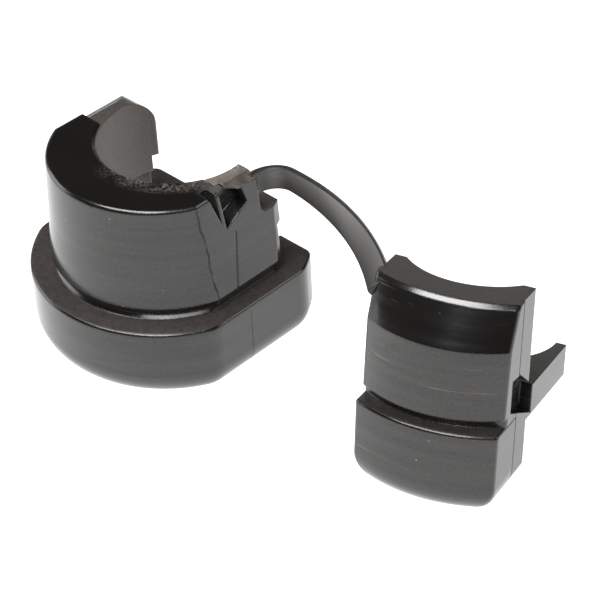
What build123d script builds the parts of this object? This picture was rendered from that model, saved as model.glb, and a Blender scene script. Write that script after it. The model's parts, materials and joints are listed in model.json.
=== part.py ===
"""Moulded nylon cord strain relief bushing with a tethered locking wedge.

Frame: millimetres, Z up along the cord, origin at the middle of the flange's underside.
The body's mouth faces +Y, its two flats face +X and -X, and the tether leaves the +X arm.
The wedge is drawn where it locks in the mouth, then set down at its moulded open place.
"""

import os
from math import atan2, cos, hypot, sin

from build123d import *

# Panel hole that the bushing snaps into, a round hole with two flats
hole_radius = 11.1
hole_flat_depth = 0.65
hole_flats = 2 * (hole_radius - hole_flat_depth)

# Body heights
body_height = 19.5
flange_height = 7.9
panel_slot = 1.2
shoulder_z = flange_height + panel_slot
shoulder_band = 2.3
lead_in_rise = 4.5

# Body outline
flange_ledge = 2.1
flange_flat_ledge = 1.45
flange_end_gap = 2.95
flange_end_y = hole_radius - flange_end_gap
neck_inset = 0.5
band_inset = 0.12
lead_in_inset = 0.3
top_inset = 0.6
flat_draft_inset = 1.05
flange_round = 3.0
flange_corner = 3.0
flange_end_round = 1.0
rim_round = 0.35
ledge_round = 0.5
bore_rim = 0.35
neck_foot = 0.3

# Cord channel
bore_radius = 7.3
bore_offset = 1.9
mouth_half = 6.6
lower_land_ease = 0.4
bell_mouth = 1.2
recess_low = 4.6
recess_high = 11.0
recess_wall = 2.6
recess_side_gap = 0.8
recess_half = mouth_half + recess_side_gap
recess_radius = hole_radius - neck_inset - recess_wall + bore_offset

# Arms beside the mouth
ear_y = 5.2
ear_round = 3.0
lower_ear_y = 4.5
lower_ear_rise = 3.6
arm_step_y = -1.4
arm_step_drop = 0.3
arm_bevel = 0.9
arm_bevel_drop = 0.45
arm_top = body_height - arm_step_drop

# Tether band, its step on the +X arm and the relief beside its root, counted from the body's top
tether_thickness = 0.9
tether_width = 2.2
tether_drop = 0.2
tether_start_y = 2.65
tether_bend = 2.3
tether_bend_turn = 98.0
tether_split = 7.0
tether_embed = 1.2
tether_step_depth = 4.6
tether_step_round = 0.8
notch_depth = 1.5
notch_front_y = -3.5
notch_foot = (-1.75, 4.1)
notch_back = (1.25, 2.5)
notch_lip = (0.8, 0.9)
notch_corner = (-0.6, 0.5)
notch_rib = 0.35
notch_rib_top_y = -2.2

# Parting line on the +X flat
parting_width = 0.16
parting_depth = 0.07
parting_foot_y = -1.3
parting_top_y = -0.6

# Locking wedge, with y counted from the middle of its outer face
clearance = 0.25
wedge_half = mouth_half - clearance
wedge_face_y = hole_radius
wedge_drop = 1.1
wedge_height = body_height - wedge_drop
wedge_taper = 3.6
wedge_slot = 0.8
lip_middle = 0.85
lip_end = -0.78
neck_middle = -0.55
neck_end = -2.6
wall_end = -2.1
crease_middle = -0.35
crease_end = -2.45
top_middle = -2.15
top_end = -3.67
plate_back = -7.4
cord_face = -5.25
mould_step = 0.12
mould_step_y = -4.8
wedge_round = 2.8
wedge_back_edge = 0.9
wedge_corner = 0.5
wedge_top_edge = 0.35
lip_round = 0.3

# Tooth on the wedge, between the floor and the roof of the body's recess
tooth_lift = 1.5
tooth_height = 2.9
tooth_gap = 2.9
tooth_root = 0.5
tooth_arc_radius = 5.3
tooth_arc_middle = -10.85
tooth_low = recess_low + tooth_lift
tooth_high = tooth_low + tooth_height
tooth_tip_y = bore_offset - recess_radius + tooth_gap

# Slanting pocket in each side of the wedge, with heights counted from the tooth's top
pocket_depth = 1.2
pocket_front = -3.3
pocket_floor = -0.2
pocket_roof = 2.8
pocket_bend = (-5.1, 2.6)

# Where the tether meets the wedge's side
tether_end_gap = 0.1
tether_end_back = 4.5
tether_end_drop = 0.87

# Motion: the wedge is pressed in along Y, after it has swung round the tether's middle
press_stroke = 14.0
fold_angle = 163.26
fold_axis = Axis((16.21, 6.48, 9.63), (-0.0313, 0.0975, 0.9947))

# Length of a cut that runs right through, the overrun of one that starts outside, and a search margin
through = 60.0
overrun = 1.0
margin = 0.01


def double_d(radius, flats):
    """Draw a circle with two flats on the current sketch."""
    Circle(radius)
    Rectangle(flats, through, mode=Mode.INTERSECT)


def flat_x(z):
    """Half width over the drafted flats at a height."""
    run = body_height - shoulder_z
    return hole_flats / 2 - flat_draft_inset * (z - shoulder_z) / run


def set_open(item):
    """Carry a closed shape or point to its moulded open place."""
    return item.translate((0, press_stroke, 0)).rotate(fold_axis, -fold_angle)


with BuildPart() as lead_in:
    # Shoulder and tapered lead-in, turned round the axis and cut to two drafted flats
    with BuildSketch(Plane.XZ):
        with BuildLine():
            Polyline(
                (0, shoulder_z),
                (hole_radius, shoulder_z),
                (hole_radius - band_inset, shoulder_z + shoulder_band),
                (hole_radius - lead_in_inset, shoulder_z + lead_in_rise),
                (hole_radius - top_inset, body_height),
                (0, body_height),
                close=True,
            )
        make_face()
    revolve(axis=Axis.Z)
    with BuildSketch(Plane.XZ):
        with BuildLine():
            Polyline(
                (-flat_x(shoulder_z), shoulder_z),
                (flat_x(shoulder_z), shoulder_z),
                (flat_x(body_height), body_height),
                (-flat_x(body_height), body_height),
                close=True,
            )
        make_face()
    extrude(amount=through, both=True, mode=Mode.INTERSECT)
    fillet(lead_in.faces().sort_by(Axis.Z)[-1].edges(), ledge_round)


with BuildPart() as body:
    # Flange with a deep round below and a fine one above
    with BuildSketch():
        double_d(hole_radius + flange_ledge, hole_flats + 2 * flange_flat_ledge)
    extrude(amount=flange_height)
    fillet(body.edges().filter_by(Axis.Z), flange_corner)
    with BuildSketch():
        with Locations((0, flange_end_y)):
            Rectangle(through, through, align=(Align.CENTER, Align.MIN))
    extrude(amount=flange_height, mode=Mode.SUBTRACT)
    uprights = body.edges().filter_by(Axis.Z)
    ends = uprights.filter_by_position(Axis.Y, flange_end_y - margin, flange_end_y + margin)
    fillet(ends, flange_end_round)
    fillet(body.faces().sort_by(Axis.Z)[0].edges(), flange_round)
    fillet(body.faces().sort_by(Axis.Z)[-1].edges(), rim_round)

    # Neck that stands in the panel, with the lead-in on it
    with BuildSketch(Plane.XY.offset(flange_height)):
        double_d(hole_radius - neck_inset, hole_flats - 2 * neck_inset)
    extrude(amount=panel_slot)
    add(lead_in.part)

    # Cord channel: a bell mouth, the wider lower land, then the land that holds the cord
    lower_land = bore_radius + lower_land_ease
    with BuildSketch(Plane.XZ.offset(-bore_offset)):
        with BuildLine():
            Polyline(
                (0, 0),
                (lower_land + bell_mouth, 0),
                (lower_land, bell_mouth),
                (lower_land, recess_high),
                (bore_radius, recess_high),
                (bore_radius, body_height - bore_rim),
                (bore_radius + bore_rim, body_height),
                (0, body_height),
                close=True,
            )
        make_face()
    revolve(axis=Axis((0, bore_offset, 0), (0, 0, 1)), mode=Mode.SUBTRACT)

    # Arms end short of the flange, with a small step at the locking height
    with BuildSketch(Plane.YZ):
        with Locations((ear_y, flange_height)):
            Rectangle(through, through, align=(Align.MIN, Align.MIN))
        with Locations((lower_ear_y, flange_height)):
            Rectangle(through, panel_slot + lower_ear_rise, align=(Align.MIN, Align.MIN))
    extrude(amount=through, both=True, mode=Mode.SUBTRACT)

    # Arm tops sit a little lower than the front ledge and fall away to the flats
    with BuildSketch(Plane.XZ.offset(-arm_step_y)):
        for side in (1, -1):
            with BuildLine():
                Polyline(
                    (side * through, body_height + overrun),
                    (0, body_height + overrun),
                    (0, arm_top),
                    (side * (flat_x(body_height) - arm_bevel), arm_top),
                    (side * flat_x(body_height), arm_top - arm_bevel_drop),
                    (side * through, arm_top - arm_bevel_drop),
                    close=True,
                )
            make_face()
    extrude(amount=-through, mode=Mode.SUBTRACT)

    # Rounded ear on the -X arm
    with BuildSketch(Plane.YZ):
        with BuildLine():
            Line((ear_y - ear_round, arm_top), (ear_y, arm_top))
            Line((ear_y, arm_top), (ear_y, arm_top - ear_round))
            RadiusArc((ear_y, arm_top - ear_round), (ear_y - ear_round, arm_top), -ear_round)
        make_face()
    extrude(amount=-through, mode=Mode.SUBTRACT)

    # Step on the +X arm, where the tether leaves it
    with BuildSketch(Plane.YZ) as tether_step:
        with Locations((tether_start_y, body_height - tether_step_depth)):
            Rectangle(through, through, align=(Align.MIN, Align.MIN))
        fillet(tether_step.vertices().sort_by(Axis.Y)[:2].sort_by(Axis.X)[0], tether_step_round)
    extrude(amount=through, mode=Mode.SUBTRACT)

    # V-shaped relief beside the tether's root, with a thin rib left in it
    with BuildSketch(Plane.YZ.offset(flat_x(body_height - tether_width) - notch_depth)):
        with BuildLine():
            corners = (notch_foot, notch_back, notch_lip, notch_corner)
            Polyline(
                (notch_front_y, body_height + overrun),
                *[(y, body_height - drop) for y, drop in corners],
                (notch_corner[0], body_height + overrun),
                close=True,
            )
        make_face()
        with BuildLine() as rib_line:
            foot_y, foot_drop = notch_foot
            Line((notch_rib_top_y, body_height + overrun), (foot_y, body_height - foot_drop - margin))
        trace(rib_line.line, line_width=notch_rib, mode=Mode.SUBTRACT)
    extrude(amount=through, mode=Mode.SUBTRACT)

    # Mouth, and the deeper recess for the wedge's tooth
    with BuildSketch():
        with Locations((0, bore_offset)):
            Rectangle(2 * mouth_half, through, align=(Align.CENTER, Align.MIN))
    extrude(amount=through, mode=Mode.SUBTRACT)
    with BuildSketch(Plane.XY.offset(recess_low)):
        with Locations((0, bore_offset)):
            Circle(recess_radius)
            Rectangle(2 * recess_half, through, align=(Align.CENTER, Align.MAX), mode=Mode.INTERSECT)
    extrude(amount=recess_high - recess_low, mode=Mode.SUBTRACT)

    # Soft foot of the neck
    foot = body.edges().filter_by_position(Axis.Z, flange_height - margin, flange_height + margin)
    foot = foot.filter_by(GeomType.CIRCLE).filter_by(lambda edge: edge.radius < hole_radius)
    chamfer(foot.sort_by(Axis.Y)[0], neck_foot)

    # Parting line down the drafted flat below the tether
    slope = flat_draft_inset / (body_height - shoulder_z)
    flat_plane = Plane(origin=(hole_flats / 2, 0, shoulder_z), x_dir=(0, 1, 0), z_dir=(1, 0, slope))
    with BuildSketch(flat_plane):
        with BuildLine() as parting:
            Line((parting_foot_y, 0), (parting_top_y, body_height - tether_step_depth - shoulder_z))
        trace(parting.line, line_width=parting_width)
    extrude(amount=-parting_depth, mode=Mode.SUBTRACT)

body.part.label = "bushing_body"


with BuildPart() as wedge:
    # Lip that completes the flange, panel slot, then the shoulder and lead-in
    levels = (
        (0, lip_middle, lip_end),
        (flange_height, lip_middle, lip_end),
        (flange_height, neck_middle, neck_end),
        (flange_height + wedge_slot, neck_middle, neck_end),
        (flange_height + wedge_slot, 0, wall_end),
        (wedge_height - wedge_taper, crease_middle, crease_end),
        (wedge_height - wedge_top_edge, top_middle, top_end),
        (wedge_height, top_middle - wedge_top_edge, top_end - wedge_top_edge),
    )
    for lower, upper in zip(levels, levels[1:]):
        if upper[0] > lower[0]:
            for z, middle, end in (lower, upper):
                with BuildSketch(Plane.XY.offset(z)) as section:
                    with BuildLine():
                        left = (-wedge_half, wedge_face_y + end)
                        right = (wedge_half, wedge_face_y + end)
                        ThreePointArc(left, (0, wedge_face_y + middle), right)
                        Polyline(
                            right,
                            (wedge_half, wedge_face_y + plate_back),
                            (-wedge_half, wedge_face_y + plate_back),
                            left,
                        )
                    make_face()
                    fillet(section.vertices().sort_by(Axis.Y)[-2:], wedge_corner)
            loft(ruled=True)
            if lower[0] == 0:
                fillet(wedge.faces().sort_by(Axis.Z)[-1].edges().sort_by(Axis.Y)[-3:], lip_round)
                fillet(wedge.faces().sort_by(Axis.Z)[0].edges().sort_by(Axis.Y)[-3:], wedge_round)

    # Sloped lower edge and hollow face, both against the cord
    with BuildSketch(Plane.YZ):
        with BuildLine():
            back_y = wedge_face_y + plate_back
            Polyline((back_y, 0), (back_y + wedge_back_edge, 0), (back_y, wedge_back_edge), close=True)
        make_face()
    extrude(amount=through, both=True, mode=Mode.SUBTRACT)
    with BuildSketch():
        with Locations((0, wedge_face_y + cord_face - bore_radius)):
            Circle(bore_radius)
    extrude(amount=through, mode=Mode.SUBTRACT)

    # Tooth that presses the cord into the body's recess
    with BuildSketch(Plane.XY.offset(tooth_low)):
        tooth_length = wedge_face_y + cord_face - tooth_root - tooth_tip_y
        with Locations((0, tooth_tip_y)):
            Rectangle(2 * wedge_half, tooth_length, align=(Align.CENTER, Align.MIN))
        with Locations((0, wedge_face_y + tooth_arc_middle - tooth_arc_radius)):
            Circle(tooth_arc_radius, mode=Mode.SUBTRACT)
    extrude(amount=tooth_height)

    # Slanting pocket in each side face, and the fine step where the mould's halves meet
    for side in (1, -1):
        with BuildSketch(Plane.YZ.offset(side * (wedge_half - pocket_depth))):
            with BuildLine():
                Polyline(
                    (wedge_face_y + pocket_front, tooth_high + pocket_floor),
                    (wedge_face_y + pocket_front, tooth_high + pocket_roof),
                    (wedge_face_y + pocket_bend[0], tooth_high + pocket_bend[1]),
                    (wedge_face_y + plate_back - overrun, tooth_high),
                    (wedge_face_y + plate_back - overrun, tooth_low - pocket_floor),
                    close=True,
                )
            make_face()
        extrude(amount=side * through, mode=Mode.SUBTRACT)
        with BuildSketch(Plane.YZ.offset(side * (wedge_half - mould_step))):
            with Locations((wedge_face_y + mould_step_y, 0)):
                Rectangle(through, through, align=(Align.MAX, Align.CENTER))
        extrude(amount=side * through, mode=Mode.SUBTRACT)

open_wedge = set_open(wedge.part)
open_wedge.label = "locking_wedge"

# The tether lies in a plane that rises gently from the arm to the wedge's side
tether_x = flat_x(body_height - tether_width / 2) - tether_thickness / 2
tether_base = Vector(tether_x, tether_start_y, arm_top - tether_width / 2 - tether_drop)
end_place = (wedge_half + tether_end_gap, wedge_face_y - tether_end_back, wedge_height - tether_end_drop)
span = set_open(Vertex(*end_place)).center() - tether_base
rise = atan2(span.Z, span.X)
tether_plane = Plane(
    origin=tether_base,
    x_dir=(cos(rise), 0, sin(rise)),
    z_dir=(-sin(rise), 0, cos(rise)),
)

with BuildSketch(tether_plane) as band:
    with BuildLine() as path:
        bend = JernArc((0, 0), (0, 1), tether_bend, -tether_bend_turn)
        run = TangentArc(bend @ 1, (hypot(span.X, span.Z), span.Y), tangent=bend % 1)
        Line(run @ 1, run @ 1 + (run % 1) * tether_embed)
    trace(path.line, line_width=tether_thickness)

with BuildPart() as tether_root:
    with BuildSketch(tether_plane):
        add(band.sketch_local)
        with Locations((tether_split, 0)):
            Rectangle(through, through, align=(Align.MIN, Align.CENTER), mode=Mode.SUBTRACT)
    extrude(amount=tether_width / 2, both=True)
    add(body.part, mode=Mode.SUBTRACT)

tether_root.part.label = "tether_root"

with BuildPart() as tether_tip:
    with BuildSketch(tether_plane):
        add(band.sketch_local)
        with Locations((tether_split, 0)):
            Rectangle(through, through, align=(Align.MAX, Align.CENTER), mode=Mode.SUBTRACT)
    extrude(amount=tether_width / 2, both=True)
    add(open_wedge, mode=Mode.SUBTRACT)

tether_tip.part.label = "tether_tip"

os.makedirs("parts", exist_ok=True)
export_step(body.part, "parts/bushing_body.step")
export_step(open_wedge, "parts/locking_wedge.step")
export_step(tether_root.part, "parts/tether_root.step")
export_step(tether_tip.part, "parts/tether_tip.step")
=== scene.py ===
"""Looks for a moulded cord strain relief bushing: nylon finishes, a strap bent round from the arm and a
white studio.
"""

import json
import math

import bpy
from mathutils import Matrix, Vector


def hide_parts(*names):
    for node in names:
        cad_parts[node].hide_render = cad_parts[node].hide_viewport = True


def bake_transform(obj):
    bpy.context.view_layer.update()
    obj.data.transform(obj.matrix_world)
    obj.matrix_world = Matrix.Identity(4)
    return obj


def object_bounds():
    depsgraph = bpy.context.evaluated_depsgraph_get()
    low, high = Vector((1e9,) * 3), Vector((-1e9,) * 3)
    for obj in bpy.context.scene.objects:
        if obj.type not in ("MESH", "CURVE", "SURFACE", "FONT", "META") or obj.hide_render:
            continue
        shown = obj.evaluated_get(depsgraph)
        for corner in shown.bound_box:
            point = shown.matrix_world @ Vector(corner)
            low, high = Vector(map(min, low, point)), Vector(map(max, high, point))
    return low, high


bl_info = {
    "name": "Strain relief bushing",
    "version": (1, 0, 0),
    "blender": (4, 5, 0),
    "location": "View3D > Sidebar > Bushing",
    "description": "Dresses the packed bushing, models its strap and sets the studio",
    "category": "Object",
}

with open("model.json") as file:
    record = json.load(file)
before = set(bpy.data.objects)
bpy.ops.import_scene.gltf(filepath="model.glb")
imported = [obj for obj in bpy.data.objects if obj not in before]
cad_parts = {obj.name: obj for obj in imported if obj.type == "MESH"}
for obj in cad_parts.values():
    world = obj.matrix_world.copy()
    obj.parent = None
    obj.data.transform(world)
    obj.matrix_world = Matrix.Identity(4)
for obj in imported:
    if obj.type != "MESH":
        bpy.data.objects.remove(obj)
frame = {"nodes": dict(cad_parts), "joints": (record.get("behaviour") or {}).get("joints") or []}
cad_low, cad_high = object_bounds()
MM = 0.001

# Places on the part that its finishes follow
BORE_Y = 1.9 * MM
BORE_RADIUS = 7.3 * MM
LEDGE_Z = 19.5 * MM
FLANGE_Z = 7.9 * MM
ARM_STEP_Y = -1.4 * MM
PARTING_Y = -1.3 * MM
CORNER_FOOT_Y = -3.74 * MM
CORNER_FOOT_Z = 9.1 * MM
CORNER_TOP_Y = -4.64 * MM
CORNER_TOP_Z = 19.03 * MM
WEDGE_HALF = 6.35 * MM
WEDGE_STEP_Y = 6.3 * MM

# Limits of the zones: a depth goes in from a face, and a reach goes past a place
LEDGE_DEPTH = 0.25 * MM
ARM_TOP_DEPTH = 1.2 * MM
RUBBED_INNER_X = 4.5 * MM
NOTCH_LIP_DEPTH = 0.9 * MM
NOTCH_FOOT_DEPTH = 5 * MM
NOTCH_LIMIT_Y = 2.6 * MM
FLANGE_REACH = 1 * MM
CHANNEL_REACH = 0.1 * MM
SCUFF_REACH = 1.1 * MM
SCUFF_INNER_X = 1 * MM
RUBBED_REACH = 1 * MM
CORNER_INNER_X = BORE_RADIUS + 1 * MM
PARTING_INNER_X = 11 * MM
PARTING_FOOT_Z = 1 * MM
PARTING_DEPTH = 0.6 * MM
WEDGE_SIDE_DEPTH = 0.3 * MM

# Widths of the mould's marks
SEAM_WANDER = 0.9 * MM
SEAM_HALF = 0.07 * MM
PARTING_HALF = 0.05 * MM
STEP_HALF = 0.13 * MM

# Soft ends of the zones, from the finest to the widest
LINE_SOFT = 0.03 * MM
STEP_SOFT = 0.04 * MM
EDGE_SOFT = 0.05 * MM
FACE_SOFT = 0.1 * MM
FLANGE_SOFT = 0.2 * MM
PARTING_SOFT = 0.3 * MM
SCUFF_SOFT = 0.9 * MM
RUBBED_SOFT = 1 * MM
ARM_SOFT = 1.5 * MM
SIDE_SOFT = 3 * MM

# A level face's normal rises above the first value, and an upright face's stays below the second
LEVEL = 0.88
UPRIGHT = 0.4

# How strongly each zone and layer shows
# The flange's share makes it glossier and also holds its dull colour back as a painted shade from the
# wall above.
FLANGE_POLISH_AND_SHADE = 0.3
PARTING_SHARE = 0.7
RUBBED_SHARE = 0.5
# The channel wall's share of the scuff colour is painted light that brightens the wall, not wear.
BORE_WALL_PAINTED_LIGHT = 0.2
GRAIN_SHARE = 0.5
# The streaks are a painted sheen along the tool lines.
STREAK_SHEEN_SHARE = 0.4
SCUFF_SHARE = 0.6
DUST_SHARE = 0.5
BODY_DULLNESS = 1.0
WEDGE_DULLNESS = 0.4
STRAP_DULLNESS = 0.25

# The nylon's gloss, tone and texture
NYLON_IOR = 1.53
TONE_RANGE = 1.8
LINES_LOW = 0.3
LINES_HIGH = 0.7
GLOSS_RANGE = 0.1
SCUFF_ROUGHNESS = 0.6
SCUFF_DULLNESS = 0.8
DULL_TEXTURE = 0.4
LEAST_TEXTURE = 0.05
EDGE_SAMPLES = 6

# The strap's mesh
CORNER_SEGMENTS = 3
BEND_STEPS = 14
SWEEP_STEPS = 36
SMOOTH_ANGLE = math.radians(35)
TOUCH = 1e-7

# The floor, the room and the photo's camera
FLOOR_SIZE = 3.0
FLOOR_DROP = 0.1 * MM
PAPER_COLOUR = (0.3, 0.3, 0.3, 1)
PAPER_ROUGHNESS = 0.9
WHITE = (1, 1, 1, 1)
ROOM_COLOUR = (0.035, 0.033, 0.03, 1)
CAMERA_PLACE = (0.12299, -0.10280, 0.12807)
CAMERA_RIGHT = (0.71888, 0.69389, -0.04148)
CAMERA_UP = (-0.41000, 0.47144, 0.78080)
CAMERA_BACK = (0.56135, -0.54429, 0.62341)
CAMERA_SENSOR = 36
CAMERA_NEAR = 0.01


class StrapSizes(bpy.types.PropertyGroup):
    """Sizes of the strap, on the middle line that the part's source gives it."""

    thickness: bpy.props.FloatProperty(
        name="Thickness", description="Strap thickness",
        default=0.7 * MM, subtype="DISTANCE", unit="LENGTH",
    )
    width: bpy.props.FloatProperty(
        name="Width", description="Strap width",
        default=2.2 * MM, subtype="DISTANCE", unit="LENGTH",
    )
    edge_round: bpy.props.FloatProperty(
        name="Edge round", description="Round on the strap's long edges",
        default=0.18 * MM, subtype="DISTANCE", unit="LENGTH",
    )
    root: bpy.props.FloatVectorProperty(
        name="Root", description="Where the strap's middle line leaves the arm",
        default=(9.061 * MM, 2.65 * MM, 17.9 * MM), subtype="TRANSLATION", unit="LENGTH",
    )
    rise: bpy.props.FloatProperty(
        name="Rise", description="Slope of the strap's plane",
        default=math.radians(7.5), subtype="ANGLE", unit="ROTATION",
    )
    bend_radius: bpy.props.FloatProperty(
        name="Bend radius", description="Radius of the bend at the arm",
        default=2.3 * MM, subtype="DISTANCE", unit="LENGTH",
    )
    bend_turn: bpy.props.FloatProperty(
        name="Bend turn", description="Turn of the bend at the arm",
        default=math.radians(98), subtype="ANGLE", unit="ROTATION",
    )
    reach: bpy.props.FloatProperty(
        name="Reach", description="Length of the strap's plane to the wedge",
        default=19.9 * MM, subtype="DISTANCE", unit="LENGTH",
    )
    fall: bpy.props.FloatProperty(
        name="Fall", description="How far forward the strap comes to meet the wedge",
        default=5.15 * MM, subtype="DISTANCE", unit="LENGTH",
    )
    twist: bpy.props.FloatProperty(
        name="Twist", description="How far the strap twists on its way to the wedge",
        default=math.radians(-60), subtype="ANGLE", unit="ROTATION",
    )
    split: bpy.props.FloatProperty(
        name="Split", description="Where the two halves of the strap meet",
        default=7.0 * MM, subtype="DISTANCE", unit="LENGTH",
    )
    embed: bpy.props.FloatProperty(
        name="Embed", description="How far the root runs into the arm",
        default=0.4 * MM, subtype="DISTANCE", unit="LENGTH",
    )
    seat: bpy.props.FloatProperty(
        name="Seat", description="How far the tip runs into the wedge",
        default=1.4 * MM, subtype="DISTANCE", unit="LENGTH",
    )


class NylonLook(bpy.types.PropertyGroup):
    """Colours and gloss of the black nylon."""

    colour: bpy.props.FloatVectorProperty(
        name="Colour", description="Colour of the polished walls",
        default=(0.0045, 0.0042, 0.004), subtype="COLOR", min=0, max=1,
    )
    # The strap's flats are painted paler as painted light, and its rims keep the dark base as painted
    # shade.
    painted_strap_light: bpy.props.FloatVectorProperty(
        name="Strap colour", description="Colour of the strap's flats, paler where it flexes",
        default=(0.1, 0.098, 0.095), subtype="COLOR", min=0, max=1,
    )
    dull_colour: bpy.props.FloatVectorProperty(
        name="Dull colour", description="Colour of the textured upward faces",
        default=(0.068, 0.057, 0.05), subtype="COLOR", min=0, max=1,
    )
    # This colour also paints light on the channel wall.
    scuff_colour: bpy.props.FloatVectorProperty(
        name="Scuff colour", description="Colour of the scuffs round the bore",
        default=(0.36, 0.315, 0.28), subtype="COLOR", min=0, max=1,
    )
    dust_colour: bpy.props.FloatVectorProperty(
        name="Dust colour", description="Colour of the dust specks",
        default=(0.4, 0.37, 0.33), subtype="COLOR", min=0, max=1,
    )
    # This colour is the walls' own grain, and on the streaks a painted sheen along the tool lines.
    grain_and_sheen_colour: bpy.props.FloatVectorProperty(
        name="Grain colour", description="Colour of the fine grain and streaks on the walls",
        default=(0.04, 0.0375, 0.035), subtype="COLOR", min=0, max=1,
    )
    gloss: bpy.props.FloatProperty(
        name="Gloss roughness", description="Roughness of the polished walls",
        default=0.14, min=0, max=1,
    )
    strap_gloss: bpy.props.FloatProperty(
        name="Strap roughness", description="Roughness of the strap",
        default=0.42, min=0, max=1,
    )
    dull: bpy.props.FloatProperty(
        name="Dull roughness", description="Roughness of the textured faces",
        default=0.5, min=0, max=1,
    )
    seam: bpy.props.FloatProperty(
        name="Seam roughness", description="Roughness of the mould's seams",
        default=1.0, min=0, max=1,
    )
    edge: bpy.props.FloatProperty(
        name="Edge softness", description="Radius of the softened moulded edges",
        default=0.2 * MM, subtype="DISTANCE", unit="LENGTH",
    )


class StudioLook(bpy.types.PropertyGroup):
    """Brightness of the white studio, and the camera's lens."""

    floor: bpy.props.FloatProperty(
        name="Floor", description="Brightness of the lit white floor", default=1.25
    )
    top_light: bpy.props.FloatProperty(
        name="Top light", description="Power of the softbox above the object",
        default=1.9, unit="POWER",
    )
    side_light: bpy.props.FloatProperty(
        name="Side light", description="Power of the cards at the sides",
        default=0.45, unit="POWER",
    )
    back_light: bpy.props.FloatProperty(
        name="Back light", description="Power of the low card behind the object",
        default=0.18, unit="POWER",
    )
    front_light: bpy.props.FloatProperty(
        name="Front light", description="Power of the narrow card above the camera",
        default=0.26, unit="POWER",
    )
    lens: bpy.props.FloatProperty(
        name="Lens", description="Camera lens in millimetres", default=128.08
    )


def new_node(tree, kind, **values):
    """Add a node and set its fields and input sockets."""
    node = tree.nodes.new(kind)
    for key, value in values.items():
        if key in node.inputs:
            node.inputs[key].default_value = value
        else:
            setattr(node, key, value)
    return node


def times(tree, first, *others):
    """Multiply several values."""
    for other in others:
        node = new_node(tree, "ShaderNodeMath", operation="MULTIPLY")
        tree.links.new(first, node.inputs[0])
        tree.links.new(other, node.inputs[1])
        first = node.outputs["Value"]
    return first


def largest(tree, first, *others):
    """The largest of several values."""
    for other in others:
        node = new_node(tree, "ShaderNodeMath", operation="MAXIMUM")
        tree.links.new(first, node.inputs[0])
        tree.links.new(other, node.inputs[1])
        first = node.outputs["Value"]
    return first


def inverse(tree, value):
    """One minus a value."""
    node = new_node(tree, "ShaderNodeMath", operation="SUBTRACT")
    node.inputs[0].default_value = 1.0
    tree.links.new(value, node.inputs[1])
    return node.outputs["Value"]


def share_of(tree, value, share):
    """A fixed share of a value."""
    node = new_node(tree, "ShaderNodeMath", operation="MULTIPLY")
    node.inputs[1].default_value = share
    tree.links.new(value, node.inputs[0])
    return node.outputs["Value"]


def plus_share(tree, value, other, share):
    """A value plus a fixed share of another one."""
    node = new_node(tree, "ShaderNodeMath", operation="MULTIPLY_ADD")
    tree.links.new(other, node.inputs[0])
    node.inputs[1].default_value = share
    tree.links.new(value, node.inputs[2])
    return node.outputs["Value"]


def above(tree, value, limit, soft):
    """1 where a value lies above a limit, with a soft end."""
    node = new_node(tree, "ShaderNodeMapRange", clamp=True)
    node.inputs["From Min"].default_value = limit - soft
    node.inputs["From Max"].default_value = limit + soft
    tree.links.new(value, node.inputs["Value"])
    return node.outputs["Result"]


def below(tree, value, limit, soft):
    """1 where a value lies below a limit, with a soft end."""
    return above(tree, value, limit, -soft)


def between(tree, value, low, high, soft):
    """1 where a value lies between two limits, with soft ends."""
    return times(tree, above(tree, value, low, soft), below(tree, value, high, soft))


def noise(tree, place, scale, detail, squeeze=1.0, turn=(0, 0, 0)):
    """A noise on the object's own coordinates, squeezed along an upright that may be turned."""
    mapping = new_node(tree, "ShaderNodeMapping", vector_type="TEXTURE")
    mapping.inputs["Rotation"].default_value = turn
    mapping.inputs["Scale"].default_value = (1, 1, 1 / squeeze)
    tree.links.new(place.outputs["Object"], mapping.inputs["Vector"])
    node = new_node(tree, "ShaderNodeTexNoise", Scale=scale, Detail=detail, Roughness=0.6)
    tree.links.new(mapping.outputs["Vector"], node.inputs["Vector"])
    return node.outputs["Fac"]


def patches(tree, place, scale, detail, limit, soft):
    """1 in the patches where a noise rises above a limit."""
    return above(tree, noise(tree, place, scale, detail), limit, soft)


def axes_of(tree, vector):
    """The three parts of a vector."""
    node = new_node(tree, "ShaderNodeSeparateXYZ")
    tree.links.new(vector, node.inputs["Vector"])
    return node.outputs["X"], node.outputs["Y"], node.outputs["Z"]


def facing_up(tree, place):
    """How far a face looks upwards: the height of its normal."""
    return axes_of(tree, place.outputs["Normal"])[2]


def from_bore(tree, place):
    """Distance from the cord channel's axis."""
    level = new_node(tree, "ShaderNodeVectorMath", operation="MULTIPLY")
    level.inputs[1].default_value = (1, 1, 0)
    tree.links.new(place.outputs["Object"], level.inputs[0])
    reach = new_node(tree, "ShaderNodeVectorMath", operation="DISTANCE")
    reach.inputs[1].default_value = (0, BORE_Y, 0)
    tree.links.new(level.outputs["Vector"], reach.inputs[0])
    return reach.outputs["Value"]


def joint_named(name):
    """One joint of the frame."""
    return next(joint for joint in frame["joints"] if joint["name"] == name)


def wedge_turn():
    """How the wedge stands at its open place, from the fold joint."""
    fold = joint_named("fold")
    closing = math.radians(fold["range_deg"][1])
    return Matrix.Rotation(-closing, 3, Vector(fold["axis"])).to_euler()


def closed_place(tree, place):
    """Where a point of the open wedge lies once it is folded and pressed in."""
    hinge = Vector(joint_named("fold")["pos_m"])
    pressed = Vector((0, joint_named("press")["range_m"][1], 0))
    mapping = new_node(tree, "ShaderNodeMapping", vector_type="TEXTURE")
    mapping.inputs["Location"].default_value = hinge
    mapping.inputs["Rotation"].default_value = wedge_turn()
    tree.links.new(place.outputs["Object"], mapping.inputs["Vector"])
    shift = new_node(tree, "ShaderNodeVectorMath", operation="ADD")
    shift.inputs[1].default_value = hinge - pressed
    tree.links.new(mapping.outputs["Vector"], shift.inputs[0])
    return shift.outputs["Vector"]


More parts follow.
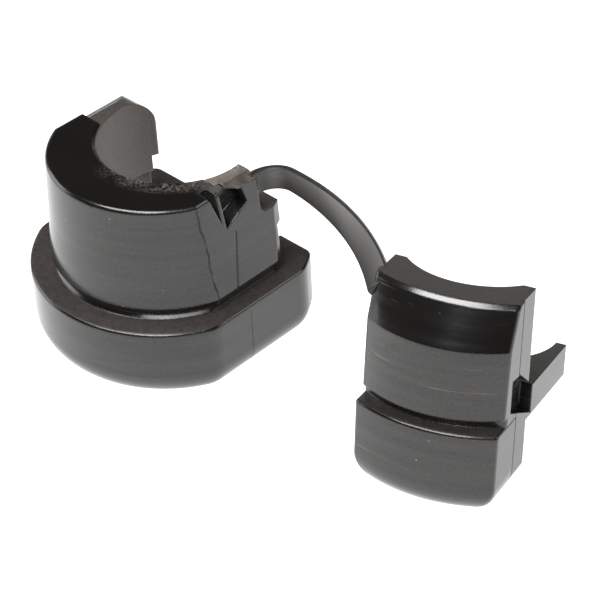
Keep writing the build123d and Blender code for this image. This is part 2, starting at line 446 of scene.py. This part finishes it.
def corner_seam(tree, place, x, y, z):
    """The ragged, broken mould seam down the corner of the round wall."""
    slope = (CORNER_TOP_Y - CORNER_FOOT_Y) / (CORNER_TOP_Z - CORNER_FOOT_Z)
    middle = CORNER_FOOT_Y - slope * CORNER_FOOT_Z + SEAM_WANDER / 2
    slant = plus_share(tree, y, z, -slope)
    ragged = plus_share(tree, slant, noise(tree, place, scale=420, detail=3), SEAM_WANDER)
    line = between(tree, ragged, middle - SEAM_HALF, middle + SEAM_HALF, EDGE_SOFT)
    right_side = above(tree, x, CORNER_INNER_X, FACE_SOFT)
    on_wall = between(tree, z, CORNER_FOOT_Z, CORNER_TOP_Z, FACE_SOFT)
    broken = patches(tree, place, scale=700, detail=2, limit=0.4, soft=0.1)
    return times(tree, line, broken, right_side, on_wall)


def flange_parting(tree, x, y, z):
    """The fine parting line down the flange's flat."""
    line = between(tree, y, PARTING_Y - PARTING_HALF, PARTING_Y + PARTING_HALF, LINE_SOFT)
    on_flat = above(tree, x, PARTING_INNER_X, FACE_SOFT)
    on_rim = between(tree, z, PARTING_FOOT_Z, FLANGE_Z - PARTING_DEPTH, PARTING_SOFT)
    return share_of(tree, times(tree, line, on_flat, on_rim), PARTING_SHARE)


def body_zones(tree, place):
    """The body's dull upward faces and channel wall, its scuffs round the bore, painted light on the
    channel wall, painted shade on the flange top and its mould seams.
    """
    x, y, z = axes_of(tree, place.outputs["Object"])
    up = above(tree, facing_up(tree, place), LEVEL, soft=0.06)

    # The front ledge and the notch beside the strap stay polished; the flange is in part polished, and
    # there its dull colour is held back as a painted shade from the wall above.
    on_top = above(tree, z, LEDGE_Z - LEDGE_DEPTH, EDGE_SOFT)
    ledge = times(tree, on_top, below(tree, y, ARM_STEP_Y, EDGE_SOFT))
    in_notch = between(tree, z, LEDGE_Z - NOTCH_FOOT_DEPTH, LEDGE_Z - NOTCH_LIP_DEPTH, FACE_SOFT)
    notch = times(tree, below(tree, y, NOTCH_LIMIT_Y, EDGE_SOFT), in_notch)
    flange = share_of(tree, below(tree, z, FLANGE_Z + FLANGE_REACH, FLANGE_SOFT), FLANGE_POLISH_AND_SHADE)
    unpolished = [inverse(tree, zone) for zone in (flange, ledge, notch)]
    reach = from_bore(tree, place)
    in_channel = below(tree, reach, BORE_RADIUS + CHANNEL_REACH, EDGE_SOFT)
    wall = times(tree, in_channel, inverse(tree, up))
    dull = largest(tree, times(tree, up, *unpolished), wall)

    # The top is scuffed near the bore and rubbed along the right arm.
    high = times(tree, up, above(tree, z, LEDGE_Z - ARM_TOP_DEPTH, FACE_SOFT))
    near_bore = below(tree, reach, BORE_RADIUS + SCUFF_REACH, SCUFF_SOFT)
    on_right = above(tree, x, SCUFF_INNER_X, SIDE_SOFT)
    grain = patches(tree, place, scale=3800, detail=4, limit=0.52, soft=0.1)
    spread = patches(tree, place, scale=620, detail=3, limit=0.46, soft=0.12)
    scuffed = times(tree, high, near_bore, on_right, grain, spread)
    behind_ledge = above(tree, y, ARM_STEP_Y - RUBBED_REACH, RUBBED_SOFT)
    on_arm = above(tree, x, RUBBED_INNER_X, ARM_SOFT)
    worn = patches(tree, place, scale=1100, detail=4, limit=0.42, soft=0.2)
    rubbed = share_of(tree, times(tree, high, behind_ledge, on_arm, worn), RUBBED_SHARE)
    # The channel wall takes a share of the scuff colour as painted light.
    scuffs_and_painted_light = largest(tree, scuffed, rubbed, share_of(tree, wall, BORE_WALL_PAINTED_LIGHT))

    seam = largest(tree, corner_seam(tree, place, x, y, z), flange_parting(tree, x, y, z))
    return dull, scuffs_and_painted_light, seam, None


def wedge_zones(tree, place):
    """The wedge's dull upward faces, rare fine scratches and the mould's step down each side."""
    up = above(tree, facing_up(tree, place), LEVEL, soft=0.05)
    fine_lines = noise(tree, place, scale=120, detail=2, squeeze=90, turn=wedge_turn())
    scratch = above(tree, fine_lines, limit=0.71, soft=0.02)
    rare = patches(tree, place, scale=110, detail=2, limit=0.5, soft=0.06)
    x, y, _ = axes_of(tree, closed_place(tree, place))
    inner_half = WEDGE_HALF - WEDGE_SIDE_DEPTH
    side = inverse(tree, between(tree, x, -inner_half, inner_half, EDGE_SOFT))
    step = between(tree, y, WEDGE_STEP_Y - STEP_HALF, WEDGE_STEP_Y + STEP_HALF, STEP_SOFT)
    return up, times(tree, scratch, rare, inverse(tree, up)), times(tree, side, step), None


def strap_zones(tree, place):
    """The strap's fine dull grain, a few specks, and painted light: its flats are painted paler than its
    dark rims.
    """
    dull = patches(tree, place, scale=2400, detail=3, limit=0.5, soft=0.2)
    specks = patches(tree, place, scale=3000, detail=3, limit=0.74, soft=0.03)
    rim = new_node(tree, "ShaderNodeAttribute", attribute_name="rim")
    return dull, specks, None, inverse(tree, rim.outputs["Fac"])


def dust_specks(tree, place):
    """Rare specks of dust, each in a cell of its own."""
    cells = new_node(tree, "ShaderNodeTexVoronoi", Scale=1300.0, Randomness=1.0)
    tree.links.new(place.outputs["Object"], cells.inputs["Vector"])
    pick = new_node(tree, "ShaderNodeSeparateColor")
    tree.links.new(cells.outputs["Color"], pick.inputs["Color"])
    small = below(tree, cells.outputs["Distance"], limit=0.09, soft=0.03)
    rare = above(tree, pick.outputs["Red"], limit=0.972, soft=0.01)
    return times(tree, small, rare)


def nylon_base(tree, place, colour):
    """The nylon's own colour, with a slow change of tone."""
    tone = new_node(tree, "ShaderNodeMix", data_type="RGBA")
    tone.inputs["A"].default_value = (*colour, 1)
    tone.inputs["B"].default_value = (*[part * TONE_RANGE for part in colour], 1)
    tree.links.new(noise(tree, place, scale=260, detail=4), tone.inputs["Factor"])
    return tone.outputs["Result"]


def lined_gloss(tree, lines, gloss):
    """A roughness that changes a little along the tool lines."""
    sheen = new_node(tree, "ShaderNodeMapRange")
    sheen.inputs["From Min"].default_value = LINES_LOW
    sheen.inputs["From Max"].default_value = LINES_HIGH
    sheen.inputs["To Min"].default_value = gloss
    sheen.inputs["To Max"].default_value = gloss + GLOSS_RANGE
    tree.links.new(lines, sheen.inputs["Value"])
    return sheen.outputs["Result"]


def layered(tree, kind, value, layers):
    """Lay colours or numbers over a value, each by its mask and its share."""
    for mask, top, share in layers:
        layer = new_node(tree, "ShaderNodeMix", data_type=kind)
        layer.inputs["B"].default_value = top
        tree.links.new(share_of(tree, mask, share), layer.inputs["Factor"])
        tree.links.new(value, layer.inputs["A"])
        value = layer.outputs["Result"]
    return value


def moulded_relief(tree, place, look, lines, dull, dull_share):
    """Softened edges, slow waves, tool lines and a fine texture that is deeper on dull faces."""
    edge = new_node(tree, "ShaderNodeBevel", samples=EDGE_SAMPLES)
    edge.inputs["Radius"].default_value = look.edge
    depth = new_node(tree, "ShaderNodeMath", operation="MULTIPLY_ADD")
    tree.links.new(dull, depth.inputs[0])
    depth.inputs[1].default_value = DULL_TEXTURE * dull_share
    depth.inputs[2].default_value = LEAST_TEXTURE
    waves = new_node(tree, "ShaderNodeBump", Strength=0.05, Distance=0.6 * MM)
    tooling = new_node(tree, "ShaderNodeBump", Strength=0.035, Distance=0.2 * MM)
    texture = new_node(tree, "ShaderNodeBump", Distance=0.07 * MM)
    tree.links.new(noise(tree, place, scale=120, detail=1), waves.inputs["Height"])
    tree.links.new(lines, tooling.inputs["Height"])
    tree.links.new(noise(tree, place, scale=4200, detail=3), texture.inputs["Height"])
    tree.links.new(depth.outputs["Value"], texture.inputs["Strength"])
    normal = edge.outputs["Normal"]
    for bump in (waves, tooling, texture):
        tree.links.new(normal, bump.inputs["Normal"])
        normal = bump.outputs["Normal"]
    return normal


def black_nylon(name, look, zones, gloss, dull_share, turn=(0, 0, 0)):
    """Moulded black nylon: polished walls with tool lines, grain, sheen painted as streaks along the
    tool lines and dust, duller zones and scuffs, and on the strap painted light on the flats.
    """
    material = bpy.data.materials.new(name)
    material.use_nodes = True
    tree = material.node_tree
    tree.nodes.clear()
    output = new_node(tree, "ShaderNodeOutputMaterial")
    shader = new_node(tree, "ShaderNodeBsdfPrincipled", IOR=NYLON_IOR)
    tree.links.new(shader.outputs["BSDF"], output.inputs["Surface"])
    place = new_node(tree, "ShaderNodeTexCoord")
    dull, scuffs_and_painted_light, seam, painted_lit_flats = zones(tree, place)
    lines = noise(tree, place, scale=60, detail=3, squeeze=22, turn=turn)
    upright = below(tree, facing_up(tree, place), UPRIGHT, soft=0.08)
    grain = patches(tree, place, scale=5200, detail=2, limit=0.5, soft=0.2)
    # The streaks paint a sheen along the tool lines on the upright walls.
    streaks = above(tree, lines, limit=0.52, soft=0.12)
    mottle = patches(tree, place, scale=2600, detail=5, limit=0.4, soft=0.35)

    paints = [
        (times(tree, upright, grain), look.grain_and_sheen_colour, GRAIN_SHARE),
        (times(tree, upright, streaks), look.grain_and_sheen_colour, STREAK_SHEEN_SHARE),
        (times(tree, dull, mottle), look.dull_colour, dull_share),
        (scuffs_and_painted_light, look.scuff_colour, SCUFF_SHARE),
        (dust_specks(tree, place), look.dust_colour, DUST_SHARE),
    ]
    # Painted light: the strap's flats take the paler colour, and the rims stay dark.
    if painted_lit_flats:
        paints.insert(0, (painted_lit_flats, look.painted_strap_light, 1.0))
    paints = [(mask, (*colour, 1), share) for mask, colour, share in paints]
    colour = layered(tree, "RGBA", nylon_base(tree, place, look.colour), paints)
    tree.links.new(colour, shader.inputs["Base Color"])

    finishes = [(dull, look.dull, dull_share), (scuffs_and_painted_light, SCUFF_ROUGHNESS, SCUFF_DULLNESS)]
    if seam:
        finishes.append((seam, look.seam, 1.0))
    roughness = layered(tree, "FLOAT", lined_gloss(tree, lines, gloss), finishes)
    tree.links.new(roughness, shader.inputs["Roughness"])

    normal = moulded_relief(tree, place, look, lines, dull, dull_share)
    tree.links.new(normal, shader.inputs["Normal"])
    return material


def dress(node, material):
    """Give a CAD node its finish."""
    node.data.materials.clear()
    node.data.materials.append(material)


class BUSHING_OT_body(bpy.types.Operator):
    """Finish the bushing body in black nylon"""

    bl_idname = "bushing.body"
    bl_label = "Finish body"

    def execute(self, context):
        look = context.scene.nylon_look
        material = black_nylon("body_nylon", look, body_zones, look.gloss, BODY_DULLNESS)
        dress(frame["nodes"]["bushing_body"], material)
        return {"FINISHED"}


class BUSHING_OT_wedge(bpy.types.Operator):
    """Finish the locking wedge in black nylon"""

    bl_idname = "bushing.wedge"
    bl_label = "Finish wedge"

    def execute(self, context):
        look = context.scene.nylon_look
        turn = wedge_turn()
        material = black_nylon("wedge_nylon", look, wedge_zones, look.gloss, WEDGE_DULLNESS, turn)
        dress(frame["nodes"]["locking_wedge"], material)
        return {"FINISHED"}


class StrapPath:
    """The strap's middle line in its plane: a bend at the arm, then one long sweep to the wedge."""

    def __init__(self, sizes):
        root = Vector(sizes.root)
        along = Vector((math.cos(sizes.rise), 0, math.sin(sizes.rise)))
        out = Vector((0, 1, 0))
        end_x = sizes.bend_radius * (1 - math.cos(sizes.bend_turn))
        end_y = sizes.bend_radius * math.sin(sizes.bend_turn)
        heading = sizes.bend_turn - math.pi / 2
        chord = Vector((sizes.reach - end_x, -sizes.fall - end_y))
        half_turn = -math.atan2(chord.y, chord.x) - heading
        final = heading + 2 * half_turn
        self.root = root
        self.along = along
        self.out = out
        self.across = Vector((-math.sin(sizes.rise), 0, math.cos(sizes.rise)))
        self.bend_centre = root + along * sizes.bend_radius
        self.bend_end = root + along * end_x + out * end_y
        self.bend_length = sizes.bend_radius * sizes.bend_turn
        self.ahead = along * math.cos(heading) - out * math.sin(heading)
        self.inward = -along * math.sin(heading) - out * math.cos(heading)
        self.sweep_turn = 2 * half_turn
        self.sweep_radius = chord.length / 2 / math.sin(half_turn)
        self.sweep_centre = self.bend_end + self.inward * self.sweep_radius
        self.length = self.bend_length + self.sweep_turn * self.sweep_radius
        self.away = along * math.cos(final) - out * math.sin(final)


class BUSHING_OT_strap(bpy.types.Operator):
    """Model the strap by spinning its section along the bend, then part it at the flexing middle"""

    bl_idname = "bushing.strap"
    bl_label = "Model strap"

    def sweep(self, context, sizes, path):
        """Carry the strap's section from the arm, round the bend and down to the wedge."""
        bpy.ops.object.select_all(action="DESELECT")
        bpy.ops.mesh.primitive_plane_add(size=1)
        strap = context.active_object
        strap.name = "strap"
        section = (path.along, path.across, path.along.cross(path.across))
        turn = Matrix(section).transposed().to_4x4()
        flat = Matrix.Diagonal((sizes.thickness, sizes.width, 1, 1))
        strap.matrix_world = Matrix.Translation(path.root - path.out * sizes.embed) @ turn @ flat
        bpy.ops.object.transform_apply(location=True, rotation=True, scale=True)
        bpy.ops.object.mode_set(mode="EDIT")
        bpy.ops.mesh.select_all(action="SELECT")
        bpy.ops.mesh.bevel(offset=sizes.edge_round, segments=CORNER_SEGMENTS, affect="VERTICES")
        bpy.ops.mesh.select_all(action="SELECT")
        bpy.ops.mesh.extrude_region_move(TRANSFORM_OT_translate={"value": path.out * sizes.embed})
        arcs = (
            (BEND_STEPS, sizes.bend_turn, path.bend_centre),
            (SWEEP_STEPS, path.sweep_turn, path.sweep_centre),
        )
        for steps, angle, centre in arcs:
            bpy.ops.mesh.spin(steps=steps, angle=angle, center=centre, axis=path.across)
        bpy.ops.mesh.extrude_region_move(TRANSFORM_OT_translate={"value": path.away * sizes.seat})
        bpy.ops.mesh.select_all(action="SELECT")
        bpy.ops.mesh.remove_doubles(threshold=TOUCH)
        bpy.ops.mesh.normals_make_consistent(inside=False)
        bpy.ops.object.mode_set(mode="OBJECT")
        return strap

    def twist(self, strap, sizes, path):
        """Mark the strap's rims, and turn it about its middle line, more and more towards the wedge."""
        rim = strap.data.attributes.new("rim", "FLOAT", "POINT")
        for vertex in strap.data.vertices:
            height = (vertex.co - path.root).dot(path.across)
            rim.data[vertex.index].value = float(abs(height) > sizes.width / 2 - sizes.edge_round)
            spot = vertex.co - path.across * height
            if (spot - path.bend_end).dot(path.ahead) > TOUCH:
                spoke = spot - path.sweep_centre
                travelled = path.bend_length + path.sweep_radius * spoke.angle(-path.inward)
                pivot = path.sweep_centre + spoke.normalized() * path.sweep_radius
            elif (spot - path.root).dot(path.out) > 0:
                spoke = spot - path.bend_centre
                travelled = sizes.bend_radius * spoke.angle(-path.along)
                pivot = path.bend_centre + spoke.normalized() * sizes.bend_radius
            else:
                continue
            share = min(travelled / path.length, 1)
            eased = share * share * (3 - 2 * share)
            tangent = spoke.normalized().cross(path.across)
            turn = Matrix.Rotation(sizes.twist * eased, 3, tangent)
            vertex.co = pivot + turn @ (vertex.co - pivot)

    def half_of(self, context, strap, name, plane_at, plane_normal, keep_root):
        """Copy the strap and keep its half on one side of a plane."""
        bpy.ops.object.select_all(action="DESELECT")
        strap.select_set(True)
        context.view_layer.objects.active = strap
        bpy.ops.object.duplicate()
        half = context.active_object
        half.name = name
        bpy.ops.object.mode_set(mode="EDIT")
        bpy.ops.mesh.select_all(action="SELECT")
        bpy.ops.mesh.bisect(
            plane_co=plane_at, plane_no=plane_normal, use_fill=True,
            clear_inner=not keep_root, clear_outer=keep_root,
        )
        bpy.ops.mesh.select_all(action="SELECT")
        bpy.ops.mesh.normals_make_consistent(inside=False)
        bpy.ops.object.mode_set(mode="OBJECT")
        bpy.ops.object.shade_smooth_by_angle(angle=SMOOTH_ANGLE)
        return half

    def execute(self, context):
        sizes = context.scene.strap_sizes
        look = context.scene.nylon_look
        path = StrapPath(sizes)
        strap = self.sweep(context, sizes, path)
        self.twist(strap, sizes, path)
        material = black_nylon("strap_nylon", look, strap_zones, look.strap_gloss, STRAP_DULLNESS)

        root = path.root
        along = path.along
        middle = root + along * sizes.split
        halves = (("strap_root", True, "tether_root"), ("strap_tip", False, "tether_tip"))
        for name, keep_root, node in halves:
            half = self.half_of(context, strap, name, middle, along, keep_root)
            half.data.materials.append(material)
            if keep_root:
                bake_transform(half)
            else:
                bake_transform(half)
            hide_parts(node)
        bpy.data.objects.remove(strap)
        return {"FINISHED"}


class BUSHING_OT_stage(bpy.types.Operator):
    """Set the white floor, the soft lights and the camera"""

    bl_idname = "bushing.stage"
    bl_label = "Set stage"

    def lay_floor(self, context, brightness):
        """Lay a sheet of lit white paper under the object."""
        bpy.ops.object.select_all(action="DESELECT")
        bpy.ops.mesh.primitive_plane_add(size=FLOOR_SIZE, location=(0, 0, -FLOOR_DROP))
        floor = context.active_object
        floor.name = "floor"
        bpy.ops.object.transform_apply(location=True, rotation=True, scale=True)
        paper = bpy.data.materials.new("white_paper")
        paper.use_nodes = True
        shader = paper.node_tree.nodes["Principled BSDF"]
        shader.inputs["Base Color"].default_value = PAPER_COLOUR
        shader.inputs["Roughness"].default_value = PAPER_ROUGHNESS
        shader.inputs["Emission Color"].default_value = WHITE
        shader.inputs["Emission Strength"].default_value = brightness
        floor.data.materials.append(paper)

    def dim_room(self, context):
        """Fill the room with a little warm light."""
        world = bpy.data.worlds.new("studio")
        context.scene.world = world
        world.use_nodes = True
        background = world.node_tree.nodes["Background"]
        background.inputs["Color"].default_value = ROOM_COLOUR
        background.inputs["Strength"].default_value = 1.0

    def add_card(self, context, name, power, size, place, target):
        """Add one soft light card that faces a target."""
        bpy.ops.object.light_add(type="AREA", location=place)
        light = context.active_object
        light.name = name
        light.data.shape = "RECTANGLE"
        light.data.size = size[0]
        light.data.size_y = size[1]
        light.data.energy = power
        aim = target - Vector(place)
        light.rotation_euler = aim.to_track_quat("-Z", "Y").to_euler()

    def set_camera(self, context, lens):
        """Set the camera where the photo's camera stood."""
        data = bpy.data.cameras.new("photo_camera")
        data.lens = lens
        data.sensor_width = CAMERA_SENSOR
        data.clip_start = CAMERA_NEAR
        camera = bpy.data.objects.new("photo_camera", data)
        context.scene.collection.objects.link(camera)
        turn = Matrix((CAMERA_RIGHT, CAMERA_UP, CAMERA_BACK)).transposed().to_4x4()
        camera.matrix_world = Matrix.Translation(CAMERA_PLACE) @ turn
        context.scene.camera = camera
        context.scene.view_settings.view_transform = "Standard"

    def execute(self, context):
        look = context.scene.studio_look
        self.lay_floor(context, look.floor)
        self.dim_room(context)
        middle = (cad_low + cad_high) / 2
        neck_foot = Vector((0, 0, FLANGE_Z))
        # Each card has a name, a power, its width and height, its place and its target.
        cards = (
            ("softbox", look.top_light, (0.3, 0.1), (0.0, -0.14, 0.34), middle),
            ("left_card", look.side_light, (0.2, 0.2), (-0.34, -0.14, 0.12), middle),
            ("right_card", look.side_light, (0.2, 0.2), (0.3, 0.26, 0.25), middle),
            ("back_card", look.back_light, (0.7, 0.14), (-0.38, 0.44, 0.17), middle),
            ("front_card", look.front_light, (0.28, 0.02), (0.158, -0.153, 0.272), neck_foot),
        )
        for name, power, size, place, target in cards:
            self.add_card(context, name, power, size, place, target)
        self.set_camera(context, look.lens)
        return {"FINISHED"}


class BUSHING_PT_panel(bpy.types.Panel):
    """Lists the bushing's steps"""

    bl_idname = "BUSHING_PT_panel"
    bl_label = "Strain relief bushing"
    bl_space_type = "VIEW_3D"
    bl_region_type = "UI"
    bl_category = "Bushing"

    def draw(self, context):
        for step in STEPS:
            self.layout.operator(step.bl_idname)
        for name, group in GROUPS:
            for field in group.__annotations__:
                self.layout.prop(getattr(context.scene, name), field)


STEPS = (BUSHING_OT_body, BUSHING_OT_wedge, BUSHING_OT_strap, BUSHING_OT_stage)
GROUPS = (("strap_sizes", StrapSizes), ("nylon_look", NylonLook), ("studio_look", StudioLook))


def register():
    for name, group in GROUPS:
        bpy.utils.register_class(group)
        setattr(bpy.types.Scene, name, bpy.props.PointerProperty(type=group))
    for item in (*STEPS, BUSHING_PT_panel):
        bpy.utils.register_class(item)


def unregister():
    for item in (BUSHING_PT_panel, *reversed(STEPS)):
        bpy.utils.unregister_class(item)
    for name, group in reversed(GROUPS):
        delattr(bpy.types.Scene, name)
        bpy.utils.unregister_class(group)


def main():
    register()
    bpy.ops.bushing.body()
    bpy.ops.bushing.wedge()
    bpy.ops.bushing.strap()
    bpy.ops.bushing.stage()


if __name__ == "__main__":
    main()
